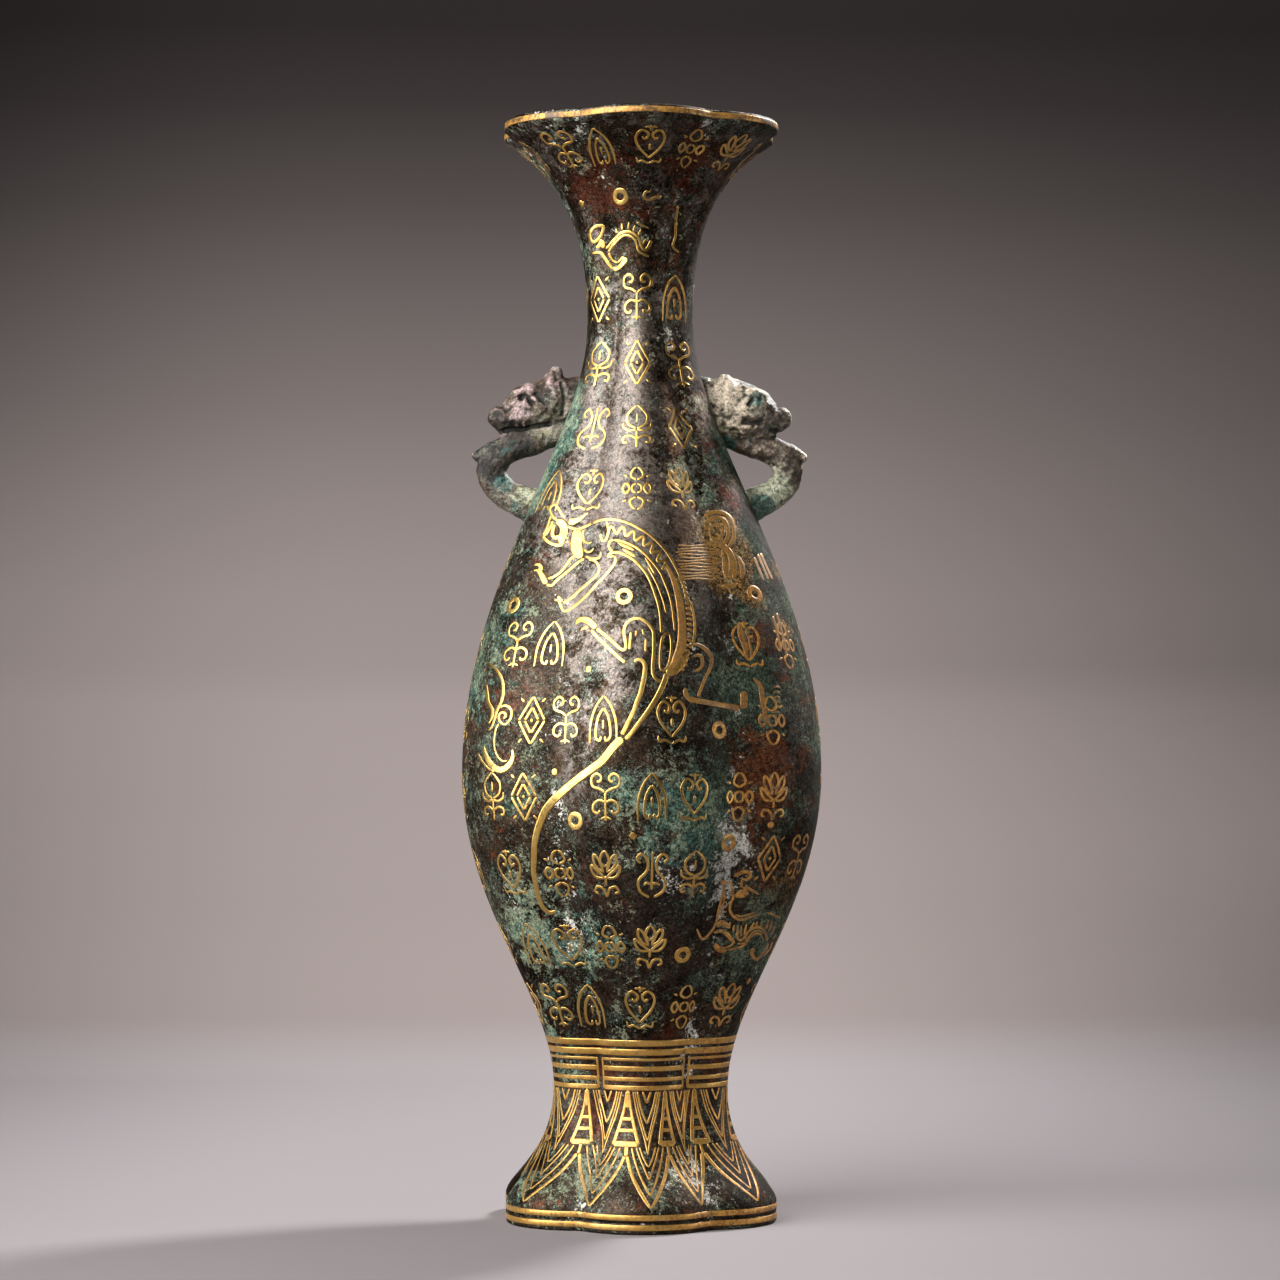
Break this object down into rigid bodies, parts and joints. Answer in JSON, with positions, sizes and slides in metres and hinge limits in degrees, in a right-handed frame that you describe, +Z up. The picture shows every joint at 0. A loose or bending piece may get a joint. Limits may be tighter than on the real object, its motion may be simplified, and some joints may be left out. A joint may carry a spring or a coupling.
{
  "type": "bronze vase",
  "caption": "Slender six-lobed bronze vase with a flared mouth, ovoid belly, tight waist, spreading foot, two beast-head loop handles and inlaid gold bands.",
  "frame": {"origin": "centre of the foot, on the surface that the vase stands on", "axes": "+Z up the axis of the vase, -Y towards the lobe that faces the viewer, the two handles on -X and +X"},
  "size_m": [0.1316, 0.1392, 0.4],
  "materials": {
    "bronze": "dark brown bronze with green and red-brown patina",
    "handle_bronze": "corroded grey-green bronze",
    "gold": "worn satin gold"
  },
  "bodies": {
    "root": {"vase_body": "bronze", "base_plate": "bronze", "left_handle": "handle_bronze", "right_handle": "handle_bronze", "lip_gold_band": "gold", "waist_gold_band_1": "gold", "waist_gold_band_2": "gold", "foot_gold_band_1": "gold", "foot_gold_band_2": "gold", "waist_gold_panel_1": "gold", "waist_gold_panel_2": "gold", "waist_gold_panel_3": "gold", "waist_gold_panel_4": "gold", "waist_gold_panel_5": "gold", "waist_gold_panel_6": "gold"}
  },
  "joints": []
}
